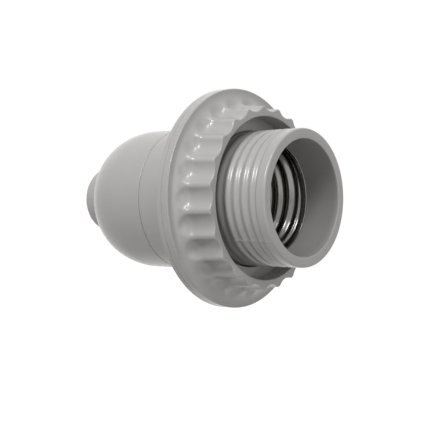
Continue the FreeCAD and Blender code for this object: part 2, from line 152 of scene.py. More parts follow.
# Lamp shell
LAMP_THREAD_R = 13.5
LAMP_THREAD_DEPTH = 1.15
LAMP_THREAD_PITCH = 3.629
LAMP_CREST_TO_LIP = 14.4
SHELL_WALL = 0.35
SHELL_DEPTH = 9.64
SHELL_BEAD = 0.22
SHELL_BEAD_LENGTH = 0.7
SHELL_FLOOR_HOLE_R = 9.0
SHELL_DRILL_PAST = 1.0

# Screws with an M3 thread; a slot is its width and depth
FINE_THREAD_PITCH = 0.5
FINE_THREAD_DEPTH = 0.28
SCREW_R = 1.45
SCREW_TOP_LENGTH = 0.4
SCREW_TOP_ROUND = 0.3
SCREW_TIP_LENGTH = 0.45
SCREW_TIP_INSET = 0.4
SCREW_THREAD_PAST = 0.1
HEAD_R = 2.4
HEAD_HEIGHT = 1.8
HEAD_ROUND = 0.45
HEAD_UNDER_ROUND = 0.12
HEAD_SLOT = (0.7, 0.9)
LOCK_SLOT = (0.5, 0.8)
SAW_PAST = 1.0

# Rivets, the leaf and its pip
RIVET_RING_R = 11.2
RIVET_TURNS_DEG = (-90.0, 30.0, 150.0)
LIVE_RIVET_Z = 6.2
RIVET_SHANK_R = 1.0
RIVET_HEAD_R = 1.6
RIVET_HEAD_HEIGHT = 0.55
RIVET_BORE_R = 0.55
RIVET_EDGE_ROUND = 0.2
RIVET_HEAD_ROUND = 0.34
BOSS_HEIGHT = 1.0
LEAF_WIDTH = 5.6
LEAF_THICK = 0.45
LEAF_FOOT = 3.6
LEAF_RISE = 2.6
LEAF_BEND_R = 1.4
LEAF_TIP_Z = -3.4
PIP_TAIL_R = 1.3
PIP_TAIL_HEIGHT = 0.4
PIP_TAIL_ROUND = 0.15
PIP_HEAD_R = 1.7
PIP_HEAD_HEIGHT = 0.8
PIP_HEAD_ROUND = 0.72
PIP_SHANK_R = 0.9

# Places along the axis
SEAM_X = CAP_LENGTH
SPIGOT_END_X = SEAM_X + SPIGOT_LENGTH
FLANGE_BACK_X = SEAM_X + SKIRT_LENGTH
FLANGE_FRONT_X = FLANGE_BACK_X + FLANGE_THICK
LIP_X = FLANGE_FRONT_X + NECK_LENGTH
SHOULDER_X = SEAM_X + SHOULDER_FROM_SEAM
BOSS_TOP_X = SHOULDER_X + BOSS_HEIGHT
SHELL_RIM_X = LIP_X - SHELL_DEPTH
RING_BACK_X = FLANGE_FRONT_X + RING_SEAT_GAP
RING_FRONT_X = RING_BACK_X + RING_HEIGHT
RING_FLOOR_X = RING_FRONT_X - COLLAR_BORE_DEPTH
COLLAR_BASE_X = RING_BACK_X + RING_RIM_THICK + RING_DISC_RISE

# How finely the pieces are divided: the longest step along an outline
PLAIN_STEP = 1.0
ENTRY_STEP = 0.11
JOIN_STEP = 0.16
KEY_STEP = 0.5
NECK_STEP = 0.125
COLLAR_STEP = 0.17
COLLAR_FACE_STEP = 0.3
RING_BORE_STEP = 0.28
SHEET_STEP = 0.2
SCREW_STEP = 0.07

# The columns round the axis, or in each scoop
CAP_COLUMNS = 208
SLEEVE_COLUMNS = 224
SHELL_COLUMNS = 224
SCOOP_COLUMNS = 20
RIVET_COLUMNS = 40
SCREW_COLUMNS = 36
PIP_COLUMNS = 48

# How far the close columns reach on either side of a narrow feature, in turns
PARTING_REACH = 0.0035
KEY_REACH = 0.014

# The camera, where the photograph was taken from, in metres
CAMERA_PLACE = (0.2122, -0.2067, -0.0041)
CAMERA_VIEW = (-0.6359, 0.7717, -0.0043)
CAMERA_ROLL_DEG = 0.3
CAMERA_LENS = 83.68
CAMERA_NEAR = 0.005

# The room's fill light on the object, and the floor under it, in metres
ROOM_LEVEL = 0.22
ROOM_TINT = "#FFF7EC"
LIGHT_DISTANCE = 0.6
OBJECT_MIDDLE = (0.04, 0, 0)
FLOOR_PLACE = (0.03, 0, -0.16)
FLOOR_SIZE = 4.0
FLOOR_COLOUR = "#B4B4B4"


# Outlines

def rounded(corners, arc_steps=7):
    """An outline's points (x, radius); a corner with a third number is drawn as an arc of that radius."""
    points = []
    for i, corner in enumerate(corners):
        here = np.array(corner[:2], float)
        if len(corner) == 2:
            points.append(here)
            continue
        before = np.array(corners[i - 1][:2], float) - here
        after = np.array(corners[(i + 1) % len(corners)][:2], float) - here
        before /= np.linalg.norm(before)
        after /= np.linalg.norm(after)
        half = math.acos(float(before @ after)) / 2
        middle = (before + after) / np.linalg.norm(before + after)
        centre = here + middle * corner[2] / math.sin(half)
        start = here + before * corner[2] / math.tan(half) - centre
        end = here + after * corner[2] / math.tan(half) - centre
        points += arc(centre, corner[2], start, end, arc_steps)
    return points


def arc(centre, radius, start, end, steps):
    """Points of the shorter arc between two directions."""
    start_angle = math.atan2(start[1], start[0])
    sweep = (math.atan2(end[1], end[0]) - start_angle + math.pi) % (2 * math.pi) - math.pi
    angles = [start_angle + sweep * k / steps for k in range(steps + 1)]
    return [centre + radius * np.array([math.cos(a), math.sin(a)]) for a in angles]


def divided(points, longest):
    """The same outline with its long runs divided, so that no step is longer than this."""
    points = [np.array(p[:2], float) for p in points]
    fine = [points[0]]
    for a, b in zip(points, points[1:]):
        steps = max(1, math.ceil(np.linalg.norm(b - a) / longest))
        fine += [a + (b - a) * k / steps for k in range(1, steps + 1)]
    return fine


def smooth_step(value, low, high):
    share = np.clip((value - low) / (high - low), 0, 1)
    return share * share * (3 - 2 * share)


def ridge(x, turn, crest_x, pitch):
    """1 on a thread's crest and 0 in its groove; crest_x is the crest's place at turn 0."""
    return 0.5 + 0.5 * np.cos(2 * math.pi * ((x - crest_x) / pitch - turn))


def thread(start, end, pitch, depth, crest_x=0.0):
    """A relief that cuts a rounded thread between two places; a depth under 0 cuts it in a bore's wall."""
    def relief(x, r, turn):
        fade = smooth_step(x, start, start + pitch / 2) * (1 - smooth_step(x, end - pitch / 2, end))
        return x, r - depth * fade * (1 - ridge(x, turn, crest_x, pitch))
    return relief


def even_turns(columns):
    return np.arange(columns) / columns


def turns_with(columns, places, reach, close=8):
    """Even columns, with this many close ones on either side of each of these places."""
    turns = list(even_turns(columns))
    for place in places:
        turns = [t for t in turns if abs((t - place + 0.5) % 1 - 0.5) > reach]
        turns += [(place + reach * k / close) % 1 for k in range(-close, close + 1)]
    return np.array(sorted(turns))


# Meshes

def linked(name, data):
    """A new object in the scene."""
    thing = bpy.data.objects.new(name, data)
    bpy.context.scene.collection.objects.link(thing)
    return thing


def grid_mesh(name, spots, capped=False):
    """A piece from rows of points. Each row closes on itself; the rows close on each other or are capped."""
    rows, columns = spots.shape[:2]
    here = np.arange(rows * columns).reshape(rows, columns)
    below = np.roll(here, -1, axis=0)
    if capped:
        here, below = here[:-1], below[:-1]
    corners = [here, below, np.roll(below, -1, axis=1), np.roll(here, -1, axis=1)]
    faces = np.stack(corners, axis=2).reshape(-1, 4).tolist()
    if capped:
        faces += [list(range(columns)), list(range(rows * columns - columns, rows * columns))]
    mesh = bpy.data.meshes.new(name)
    mesh.from_pydata((spots.reshape(-1, 3) * MM).tolist(), [], faces)
    piece = linked(name, mesh)
    clean(piece)
    return piece


def turned_piece(name, stretches, turns, place=None):
    """A piece turned about the axis from stretches of outline that close on each other.

    A stretch is its points and, where its surface isn't round, a relief: a function of the points' x and
    radius as a column and of the turns as a row, which gives the new x and radius.
    """
    xs = []
    rs = []
    for points, relief in stretches:
        x = np.array([p[0] for p in points])[:, None] + 0 * turns[None, :]
        r = np.array([p[1] for p in points])[:, None] + 0 * turns[None, :]
        if relief:
            x, r = relief(x, r, turns[None, :])
        xs.append(x)
        rs.append(r)
    x = np.vstack(xs)
    r = np.vstack(rs)
    angle = 2 * math.pi * turns[None, :]
    piece = grid_mesh(name, np.stack([x, r * np.cos(angle), r * np.sin(angle)], axis=2))
    if place:
        piece.data.transform(place)
    return piece


def clean(piece, sharp_deg=38):
    """Merges doubled points, turns every face outwards and shades smooth up to this angle."""
    work = bmesh.new()
    work.from_mesh(piece.data)
    bmesh.ops.remove_doubles(work, verts=work.verts, dist=1e-6)
    bmesh.ops.dissolve_degenerate(work, edges=work.edges, dist=1e-7)
    bmesh.ops.recalc_face_normals(work, faces=work.faces)
    for face in work.faces:
        face.smooth = True
    work.to_mesh(piece.data)
    work.free()
    piece.data.set_sharp_from_angle(angle=math.radians(sharp_deg))


def cut_away(piece, work):
    """Cuts the shape in this bmesh out of a piece."""
    tool_mesh = bpy.data.meshes.new("cutter")
    work.to_mesh(tool_mesh)
    work.free()
    tool = linked("cutter", tool_mesh)
    cut = piece.modifiers.new("cut", "BOOLEAN")
    cut.solver = "EXACT"
    cut.object = tool
    bpy.context.view_layer.update()
    whole = piece.evaluated_get(bpy.context.evaluated_depsgraph_get())
    piece.data = bpy.data.meshes.new_from_object(whole)
    piece.modifiers.clear()
    bpy.data.objects.remove(tool)
    clean(piece)


def drill(piece, start, end, radius):
    """Drills a round hole between two places."""
    start, end = Vector(start) * MM, Vector(end) * MM
    turned = (end - start).to_track_quat("Z", "Y").to_matrix().to_4x4()
    place = Matrix.Translation((start + end) / 2) @ turned
    work = bmesh.new()
    bmesh.ops.create_cone(work, cap_ends=True, segments=40, radius1=radius * MM, radius2=radius * MM,
                          depth=(end - start).length, matrix=place)
    cut_away(piece, work)


def saw(piece, middle, size):
    """Saws a square slot: the middle of the saw's cut and its three sizes."""
    place = Matrix.Translation(Vector(middle) * MM) @ Matrix.Diagonal((*(Vector(size) * MM), 1))
    work = bmesh.new()
    bmesh.ops.create_cube(work, size=1, matrix=place)
    cut_away(piece, work)


def softened(name, node, edge_mm, flat_deg=0.8, edge_deg=35):
    """A copy of a CAD node with its sharp edges rounded, as tumbling or the mould leaves them.

    Faces that are flat to the first angle become one, and an edge is sharp from the second angle on.
    """
    piece = linked(name, frame["nodes"][node].data.copy())
    work = bmesh.new()
    work.from_mesh(piece.data)
    bmesh.ops.remove_doubles(work, verts=work.verts, dist=1e-6)
    bmesh.ops.dissolve_limit(work, angle_limit=math.radians(flat_deg), verts=work.verts, edges=work.edges)
    edge_angle = math.radians(edge_deg)
    sharp = [e for e in work.edges if len(e.link_faces) == 2 and e.calc_face_angle() > edge_angle]
    bmesh.ops.bevel(work, geom=sharp, offset=edge_mm * MM, segments=2, profile=0.5, affect="EDGES",
                    clamp_overlap=True)
    bmesh.ops.triangulate(work, faces=[f for f in work.faces if len(f.verts) > 4])
    work.to_mesh(piece.data)
    work.free()
    clean(piece, sharp_deg=50)
    return piece


# Materials

def linear(code):
    """The linear colour of an sRGB hex code."""
    channels = [int(code[i:i + 2], 16) / 255 for i in (1, 3, 5)]
    return [c / 12.92 if c <= 0.04045 else ((c + 0.055) / 1.055) ** 2.4 for c in channels] + [1.0]


def per_metre(size_mm):
    """A pattern's scale, in features to the metre, for a feature of this size."""
    return 1 / (size_mm * MM)


def add(material, kind, links=(), **settings):
    """Adds a node. A link is its input, another node and that node's output; the settings are its inputs
    or properties.
    """
    node = material.node_tree.nodes.new(kind)
    for key, value in settings.items():
        name = key.replace("_", " ")
        if name in node.inputs:
            node.inputs[name].default_value = value
        else:
            setattr(node, key, value)
    for socket, source, output in links:
        material.node_tree.links.new(source.outputs[output], node.inputs[socket])
    return node


def empty_material(name):
    material = bpy.data.materials.new(name)
    material.use_nodes = True
    material.node_tree.nodes.clear()
    return material


def finish_with(material, shader):
    output = add(material, "ShaderNodeOutputMaterial")
    material.node_tree.links.new(shader.outputs[0], output.inputs["Surface"])
    return material


def noise(material, place, output, size_mm, detail):
    """A pattern of blotches or grains of about this size."""
    return add(material, "ShaderNodeTexNoise", [("Vector", place, output)], Scale=per_metre(size_mm),
               Detail=detail)


def two_colours(material, source, output, dark, light, low=0.35, high=0.7):
    """A ramp from one colour to another between two levels of a pattern."""
    ramp = add(material, "ShaderNodeValToRGB", [("Fac", source, output)])
    ramp.color_ramp.elements[0].position = low
    ramp.color_ramp.elements[0].color = linear(dark)
    ramp.color_ramp.elements[1].position = high
    ramp.color_ramp.elements[1].color = linear(light)
    return ramp


def between(material, source, output, low, high):
    """A number that goes from low to high with a pattern."""
    spread = add(material, "ShaderNodeMapRange", [("Value", source, output)])
    spread.inputs["To Min"].default_value = low
    spread.inputs["To Max"].default_value = high
    return spread


def dents(material, pattern, strength, depth_mm):
    """The fine unevenness that a pattern gives the surface."""
    return add(material, "ShaderNodeBump", [("Height", pattern, "Fac")], Strength=strength,
               Distance=depth_mm * MM)


def surface(material, colour, bump, gloss=None, **settings):
    """Finishes a material from its colour and bump and, where its gloss varies, from that too."""
    links = [("Base Color", colour, "Color"), ("Normal", bump, "Normal")]
    if gloss:
        links.append(("Roughness", gloss, "Result"))
    return finish_with(material, add(material, "ShaderNodeBsdfPrincipled", links, **settings))


def moulded_pbt_grey():
    """Injection-moulded PBT: the polished mould gives a soft gloss, and the melt's flow a faint mottle."""
    m = empty_material("moulded_pbt_grey")
    place = add(m, "ShaderNodeTexCoord")
    mottle = noise(m, place, "Object", size_mm=9, detail=3.0)
    colour = two_colours(m, mottle, "Fac", "#A6A5A4", "#A9A8A8")
    grain = noise(m, place, "Object", size_mm=0.35, detail=2.0)
    bump = dents(m, grain, strength=0.04, depth_mm=0.02)
    gloss = between(m, mottle, "Fac", low=0.24, high=0.28)
    return surface(m, colour, bump, gloss, IOR=1.52)


def nickel_plated_sheet():
    """Nickel-plated steel sheet, with fine lines round the thread from the rolls. Its grey is darker than
    bright
    nickel: partly the plate's dulling, partly painted shade for the dark room that the shell mirrors inside
    the mouth, which keeps narrow highlights between dark bands.
    """
    m = empty_material("nickel_plated_sheet")
    place = add(m, "ShaderNodeTexCoord")
    lines = add(m, "ShaderNodeMapping", [("Vector", place, "Object")])
    lines.inputs["Scale"].default_value = (6, 1, 1)
    rolled = noise(m, lines, "Vector", size_mm=1.5, detail=2.0)
    # Partly painted shade: the ramp's greys are set below bright nickel to stand for the dark room it
    # mirrors.
    colour = two_colours(m, rolled, "Fac", "#777674", "#82817F")
    bump = dents(m, rolled, strength=0.01, depth_mm=0.02)
    gloss = between(m, rolled, "Fac", low=0.18, high=0.22)
    return surface(m, colour, bump, gloss, Metallic=1.0)


def metal(name, dark, light, grain_mm, smooth, rough):
    """A punched or turned metal with the faint, even grain that tumbling or rolling leaves."""
    m = empty_material(name)
    place = add(m, "ShaderNodeTexCoord")
    grain = noise(m, place, "Object", size_mm=grain_mm, detail=3.0)
    colour = two_colours(m, grain, "Fac", dark, light)
    bump = dents(m, grain, strength=0.1, depth_mm=0.02)
    gloss = between(m, grain, "Fac", smooth, rough)
    return surface(m, colour, bump, gloss, Metallic=1.0)


def pressed_steatite_white():
    """Pressed and fired steatite, the insulator that carries the shell: dull, off-white and finely
    grained.
    """
    m = empty_material("pressed_steatite_white")
    place = add(m, "ShaderNodeTexCoord")
    grain = noise(m, place, "Object", size_mm=0.3, detail=4.0)
    colour = two_colours(m, grain, "Fac", "#CFCBC0", "#DBD8CF", low=0.3)
    bump = dents(m, grain, strength=0.25, depth_mm=0.03)
    return surface(m, colour, bump, Roughness=0.62, IOR=1.6)


# Tumbled brass is a warm, soft yellow, rolled bronze is redder, and zinc plating is a cool pale grey.
SLOT_MATERIALS = {
    "grey_thermoplastic": moulded_pbt_grey(),
    "nickelled_sheet": nickel_plated_sheet(),
    "white_moulding": pressed_steatite_white(),
    "brass": metal("tumbled_brass", "#B08D4A", "#C9A860", 0.4, 0.28, 0.42),
    "phosphor_bronze": metal("rolled_phosphor_bronze", "#A9784A", "#C39263", 0.4, 0.26, 0.38),
    "zinc_plated_steel": metal("zinc_plated_steel", "#A3A6AA", "#BFC2C4", 0.3, 0.25, 0.4),
}
SLOT_OF = {part["node"]: part["material_slot"] for part in frame["record"]["subparts"]}
BODY_OF = {node: body for body, nodes in frame["record"]["behaviour"]["bodies"].items() for node in nodes}


def dress(piece, node):
    """The piece stands for this CAD node, and takes its finish."""
    piece.data.materials.clear()
    piece.data.materials.append(SLOT_MATERIALS[SLOT_OF[node]])
    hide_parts(node)


def dress_and_ride(piece, node):
    dress(piece, node)
    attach(piece, BODY_OF[node])


# Rear cap

def dome(inset, root_round=0.0, steps=40):
    """A quarter of an ellipse from the nub to the widest ring, with a rounded root at the nub."""
    middle = np.array([NUB_LENGTH + DOME_LENGTH, NUB_R])
    reach = np.array([DOME_LENGTH - inset, CAP_R - NUB_R - inset])

    def spot(angle):
        return middle + reach * np.array([-math.cos(angle), math.sin(angle)])

    def root_centre(angle):
        outwards = np.array([-math.cos(angle), math.sin(angle)]) / reach
        return spot(angle) + root_round * outwards / np.linalg.norm(outwards)

    low = 0.0
    high = math.pi / 2
    for _ in range(50):
        join = (low + high) / 2
        if root_centre(join)[1] > NUB_R + root_round:
            high = join
        else:
            low = join
    centre = root_centre(join)
    root = arc(centre, root_round, (0, -1), spot(join) - centre, steps=8)[:-1] if root_round else []
    return root + [spot(join + (math.pi / 2 - join) * k / steps) for k in range(steps + 1)]


def rear_cap():
    ledge_x = SEAM_X - SPIGOT_LEDGE
    spigot_bore_r = SPIGOT_R - SPIGOT_WALL
    nub = rounded([
        (0, ENTRY_BORE_R + ENTRY_LEAD),
        (0, NUB_R, NUB_EDGE_ROUND),
        (NUB_LENGTH, NUB_R)])[:-1]
    seam = rounded([
        (NUB_LENGTH + DOME_LENGTH, CAP_R),
        (SEAM_X, CAP_R, SEAM_EDGE_ROUND),
        (SEAM_X, SPIGOT_R)])[1:]
    spigot = divided([(SEAM_X, SPIGOT_R), (SPIGOT_END_X - SPIGOT_TIP_ROUND, SPIGOT_R)], JOIN_STEP)
    inside = rounded([
        (SEAM_X, SPIGOT_R),
        (SPIGOT_END_X, SPIGOT_R, SPIGOT_TIP_ROUND),
        (SPIGOT_END_X, spigot_bore_r, SPIGOT_TIP_ROUND),
        (ledge_x, spigot_bore_r),
        (ledge_x, CAP_R - CAP_WALL)])[1:] + dome(CAP_WALL)[::-1]
    entry_end_x = NUB_LENGTH + CAP_WALL
    entry = divided([(entry_end_x, ENTRY_BORE_R), (ENTRY_LEAD, ENTRY_BORE_R)], ENTRY_STEP)
    cap = turned_piece("rear_cap_moulding", [
        (divided(nub + dome(0, NUB_ROOT_ROUND) + seam, PLAIN_STEP)[:-1], None),
        (spigot, thread(SEAM_X + JOIN_THREAD_LEAD, SPIGOT_END_X, JOIN_THREAD_PITCH, JOIN_THREAD_DEPTH)),
        (divided(inside, PLAIN_STEP), None),
        (entry, thread(-ENTRY_THREAD_PITCH, entry_end_x, ENTRY_THREAD_PITCH, -ENTRY_THREAD_DEPTH)),
    ], even_turns(CAP_COLUMNS))
    drill(cap, (LOCK_X, LOCK_DRILL_FREE, 0), (LOCK_X, NUB_R + LOCK_DRILL_FREE, 0), LOCK_HOLE_R)
    return cap


# Front sleeve

def neck_relief(x, r, turn):
    """The neck's rounded thread, which fades out at the plain band by the lip.

    The mould's two halves sit a hair apart along the axis, so the thread steps at the parting lines, where
    a thin flash stands up.
    """
    past_first, past_second = [smooth_step(turn, line - PARTING_BLEND, line + PARTING_BLEND)
                               for line in PARTING_TURNS]
    side = past_first - past_second
    crest_x = LIP_X - NECK_CREST_TO_LIP - NECK_THREAD_PITCH / 2 + PARTING_STEP * (side - 0.5)
    fade = smooth_step(LIP_X - LEAD_BAND - x, 0, NECK_THREAD_PITCH / 3)
    groove = fade * (1 - ridge(x, turn, crest_x, NECK_THREAD_PITCH))
    flash = sum(np.exp(-(2 * math.pi * r * (turn - line) / FLASH_WIDTH) ** 2) for line in PARTING_TURNS)
    to_lip = smooth_step(x, LIP_X - FLASH_FADE, LIP_X)
    return x, r - NECK_THREAD_DEPTH * groove + FLASH_HEIGHT * flash * (1 - to_lip)


def key_relief(x, r, turn):
    """The key in the skirt's bore that stops the contact block from turning."""
    aside = 2 * math.pi * SKIRT_BORE_R * np.abs(turn - KEY_TURN) - KEY_WIDTH / 2
    return x, r - KEY_DEPTH * (1 - smooth_step(aside, -KEY_SIDE_SLOPE, KEY_SIDE_SLOPE))


def front_sleeve():
    seam_x = SEAM_X + SEAM_GAP
    outside = divided(rounded([
        (seam_x, SKIRT_BORE_R),
        (seam_x, SKIRT_R, SEAM_EDGE_ROUND),
        (FLANGE_BACK_X, SKIRT_R, FLANGE_ROOT_ROUND),
        (FLANGE_BACK_X, FLANGE_R, FLANGE_EDGE_ROUND),
        (FLANGE_FRONT_X, FLANGE_R, FLANGE_FACE_ROUND),
        (FLANGE_FRONT_X, NECK_THREAD_R)], arc_steps=12), PLAIN_STEP)[:-1]
    neck = divided([(FLANGE_FRONT_X, NECK_THREAD_R), (LIP_X - LIP_ROUND, NECK_THREAD_R)], NECK_STEP)
    lip = rounded([
        (FLANGE_FRONT_X, NECK_THREAD_R),
        (LIP_X, NECK_THREAD_R, LIP_ROUND),
        (LIP_X, MOUTH_R, MOUTH_ROUND),
        (SHELL_RIM_X, SHELL_BORE_R),
        (SHOULDER_X, SHELL_BORE_R),
        (SHOULDER_X, SKIRT_BORE_R)])[2:]
    key_back_x = SPIGOT_END_X + KEY_FROM_SPIGOT
    key = divided([(SHOULDER_X, SKIRT_BORE_R), (key_back_x, SKIRT_BORE_R)], KEY_STEP)
    bore = divided([(key_back_x, SKIRT_BORE_R), (seam_x, SKIRT_BORE_R)], JOIN_STEP)
    parting_turns = turns_with(SLEEVE_COLUMNS, PARTING_TURNS, PARTING_REACH)
    key_turns = turns_with(SLEEVE_COLUMNS, [KEY_TURN], KEY_REACH)
    turns = np.array(sorted(set(parting_turns) | set(key_turns)))
    return turned_piece("front_sleeve_moulding", [
        (outside, None),
        (neck, neck_relief),
        (divided(lip, PLAIN_STEP)[:-1], None),
        (key, key_relief),
        (bore, thread(seam_x, key_back_x, JOIN_THREAD_PITCH, -JOIN_THREAD_DEPTH)),
    ], turns)


# Shade ring

def scoop_turns():
    """Columns that gather at the lands between the scoops."""
    turns = []
    for scoop in range(SCOOP_COUNT):
        for k in range(SCOOP_COLUMNS):
            share = k / SCOOP_COLUMNS - 0.5
            spread = share + SCOOP_GATHER * math.sin(2 * math.pi * share)
            turns.append(SCOOP_FIRST_TURN_DEG / 360 + (scoop + spread) / SCOOP_COUNT)
    return np.array(turns)


def scoop_depth(x, r, offset, inward_x, inward_r):
    """How far a point moves inwards to leave the round-ended cutter of its scoop; less than 0 outside it.

    The cutter lies along the collar's slope, and its rounded end stands on the disc. The end flows into the
    straight part without a crease, as the polished mould's does.
    """
    slope = math.atan2(COLLAR_BASE_R - COLLAR_FRONT_R, RING_FRONT_X - COLLAR_BASE_X)
    lift = SCOOP_R - SCOOP_DEPTH
    end_x = COLLAR_BASE_X + (SCOOP_END - SCOOP_BITE) * math.cos(slope) + lift * math.sin(slope)
    end_r = COLLAR_BASE_R - (SCOOP_END - SCOOP_BITE) * math.sin(slope) + lift * math.cos(slope)

    def outside_by(reach):
        px = x + inward_x * reach - end_x
        pr = (r + inward_r * reach) * np.cos(offset) - end_r
        side = (r + inward_r * reach) * np.sin(offset)
        past_end = px * math.cos(slope) - pr * math.sin(slope)
        along = (past_end - np.sqrt(past_end ** 2 + SCOOP_END_BLEND ** 2)) / 2 * SCOOP_R / SCOOP_END
        out = px * math.sin(slope) + pr * math.cos(slope)
        return np.sqrt(along ** 2 + out ** 2 + side ** 2) - SCOOP_R

    at_start = outside_by(0 * x)
    near = 0 * x
    far = near + 2 * SCOOP_R
    for _ in range(20):
        middle = (near + far) / 2
        inside = outside_by(middle) < 0
        near = np.where(inside, middle, near)
        far = np.where(inside, far, middle)
    return np.where(at_start < 0, near, -at_start)


def scoop_relief(x, r, turn):
    """Scoops cut into the collar and its root, with soft edges, and a rounded front edge."""
    step_x = np.gradient(x[:, :1], axis=0)
    step_r = np.gradient(r[:, :1], axis=0)
    length = np.hypot(step_x, step_r)
    to_front = smooth_step(x, COLLAR_BASE_X + COLLAR_ROOT_ROUND, RING_FRONT_X)
    inward_x = step_r / length * (1 - to_front)
    inward_r = -step_x / length - 0 * x
    pitch = 1 / SCOOP_COUNT
    offset = (turn - SCOOP_FIRST_TURN_DEG / 360 + pitch / 2) % pitch - pitch / 2
    depth = scoop_depth(x, r, 2 * math.pi * offset, inward_x, inward_r)
    soft = (depth + np.sqrt(depth ** 2 + SCOOP_EDGE ** 2)) / 2
    past = np.clip(x - RING_FRONT_X + RING_EDGE_ROUND, 0, RING_EDGE_ROUND)
    drop = RING_EDGE_ROUND - np.sqrt(RING_EDGE_ROUND ** 2 - past ** 2)
    return x + inward_x * soft, r + inward_r * soft - drop


def front_face_relief(x, r, turn):
    """The collar's front face, which reaches out as far as the scoops leave."""
    step = 0.01
    edge = np.array([[RING_FRONT_X - step], [RING_FRONT_X]]) + 0 * turn
    edge_r = scoop_relief(edge, np.full_like(edge, COLLAR_FRONT_R), turn)[1][1:]
    inner_r = COLLAR_BORE_R + RING_EDGE_ROUND
    share = (COLLAR_FRONT_R - r) / (COLLAR_FRONT_R - inner_r)
    return x, edge_r + (inner_r - edge_r) * share


def shade_ring():
    disc_x = RING_BACK_X + RING_RIM_THICK
    rim = rounded([
        (RING_BACK_X, RING_BORE_R),
        (RING_BACK_X, FLANGE_R, FLANGE_FACE_ROUND),
        (disc_x, FLANGE_R, RING_EDGE_ROUND),
        (COLLAR_BASE_X, COLLAR_BASE_R)])[:-1]
    root = rounded([
        tuple(rim[-1]),
        (COLLAR_BASE_X, COLLAR_BASE_R, COLLAR_ROOT_ROUND),
        (RING_FRONT_X, COLLAR_FRONT_R)], arc_steps=16)
    slope = (COLLAR_FRONT_R - root[-2][1]) / (RING_FRONT_X - root[-2][0])
    edge_start = np.array([RING_FRONT_X - RING_EDGE_ROUND, COLLAR_FRONT_R - slope * RING_EDGE_ROUND])
    collar = divided(root[:-1] + [edge_start], COLLAR_STEP)[1:]
    collar += divided([edge_start, root[-1]], RING_EDGE_ROUND / 6)[1:]
    inside = rounded([
        (RING_FRONT_X, COLLAR_FRONT_R),
        (RING_FRONT_X, COLLAR_BORE_R, RING_EDGE_ROUND),
        (RING_FLOOR_X, COLLAR_BORE_R),
        (RING_FLOOR_X, RING_BORE_R)])
    face = divided(inside[:2], COLLAR_FACE_STEP)[1:-1]
    bore = divided([(RING_FLOOR_X, RING_BORE_R), (RING_BACK_X, RING_BORE_R)], RING_BORE_STEP)
    thread_end_x = RING_FLOOR_X + RING_THREAD_PAST
    return turned_piece("shade_ring_moulding", [
        (divided(rim, PLAIN_STEP), None),
        (collar, scoop_relief),
        (face, front_face_relief),
        (divided(inside[1:], PLAIN_STEP)[:-1], None),
        (bore, thread(RING_BACK_X, thread_end_x, NECK_THREAD_PITCH, -RING_THREAD_DEPTH)),
    ], scoop_turns())


# Lamp shell and its rivets

def lamp_relief(x, r, turn):
    """The lamp's rolled thread, which fades to plain at the shell's rim and floor."""
    crest_x = LIP_X - LAMP_CREST_TO_LIP
    fade = LAMP_THREAD_PITCH / 3
    front = smooth_step(SHELL_RIM_X - fade - x, 0, fade)
    back = smooth_step(x, SHOULDER_X + fade, SHOULDER_X + LAMP_THREAD_PITCH)
    bead = SHELL_BEAD * smooth_step(x, SHELL_RIM_X - SHELL_BEAD_LENGTH, SHELL_RIM_X)
    return x, r + bead - LAMP_THREAD_DEPTH * front * back * ridge(x, turn, crest_x, LAMP_THREAD_PITCH)


def rivet_places():
    angles = [math.radians(turn) for turn in RIVET_TURNS_DEG]
    return [(RIVET_RING_R * math.cos(a), RIVET_RING_R * math.sin(a)) for a in angles]


def screw_shell():
    outer_r = LAMP_THREAD_R + SHELL_WALL
    floor_x = SHOULDER_X + SHELL_WALL
    half = SHELL_WALL / 2
    outside = divided([(SHOULDER_X, outer_r), (SHELL_RIM_X, outer_r)], SHEET_STEP)
    # The half circle starts and ends a hair towards the mouth, so that it turns by way of the mouth.
    rim = arc(np.array([SHELL_RIM_X, LAMP_THREAD_R + half]), half, (0.001, 1), (0.001, -1), steps=7)[1:-1]
    inside = divided([(SHELL_RIM_X, LAMP_THREAD_R), (floor_x, LAMP_THREAD_R)], SHEET_STEP)
    floor = divided([(floor_x, LAMP_THREAD_R), (floor_x, SHELL_FLOOR_HOLE_R)], PLAIN_STEP)[1:]
    floor += divided([(SHOULDER_X, SHELL_FLOOR_HOLE_R), (SHOULDER_X, outer_r)], PLAIN_STEP)[:-1]
    shell = turned_piece("rolled_shell", [
        (outside, lamp_relief),
        (rim, lamp_relief),
        (inside, lamp_relief),
        (floor, None),
    ], even_turns(SHELL_COLUMNS))
    back_x, front_x = SHOULDER_X - SHELL_DRILL_PAST, SHOULDER_X + SHELL_DRILL_PAST
    for y, z in rivet_places():
        drill(shell, (back_x, y, z), (front_x, y, z), RIVET_SHANK_R)
    return shell


def rivet(name, back_x, front_x, y, z):
    """A hollow rivet with a rolled head at each end."""
    back_end, front_end = back_x - RIVET_HEAD_HEIGHT, front_x + RIVET_HEAD_HEIGHT
    outline = rounded([
        (back_x, RIVET_SHANK_R),
        (front_x, RIVET_SHANK_R),
        (front_x, RIVET_HEAD_R, RIVET_EDGE_ROUND),
        (front_end, RIVET_HEAD_R, RIVET_HEAD_ROUND),
        (front_end, RIVET_BORE_R, RIVET_EDGE_ROUND),
        (back_end, RIVET_BORE_R, RIVET_EDGE_ROUND),
        (back_end, RIVET_HEAD_R, RIVET_HEAD_ROUND),
        (back_x, RIVET_HEAD_R, RIVET_EDGE_ROUND)], arc_steps=4)
    place = Matrix.Translation(Vector((0, y, z)) * MM)
    return turned_piece(name, [(outline, None)], even_turns(RIVET_COLUMNS), place)


def as_one(name, pieces):
    """Joins pieces of one node into one object."""
    work = bmesh.new()
    for piece in pieces:
        work.from_mesh(piece.data)
        bpy.data.objects.remove(piece)
    mesh = bpy.data.meshes.new(name)
    work.to_mesh(mesh)
    work.free()
    whole = linked(name, mesh)
    clean(whole)
    return whole


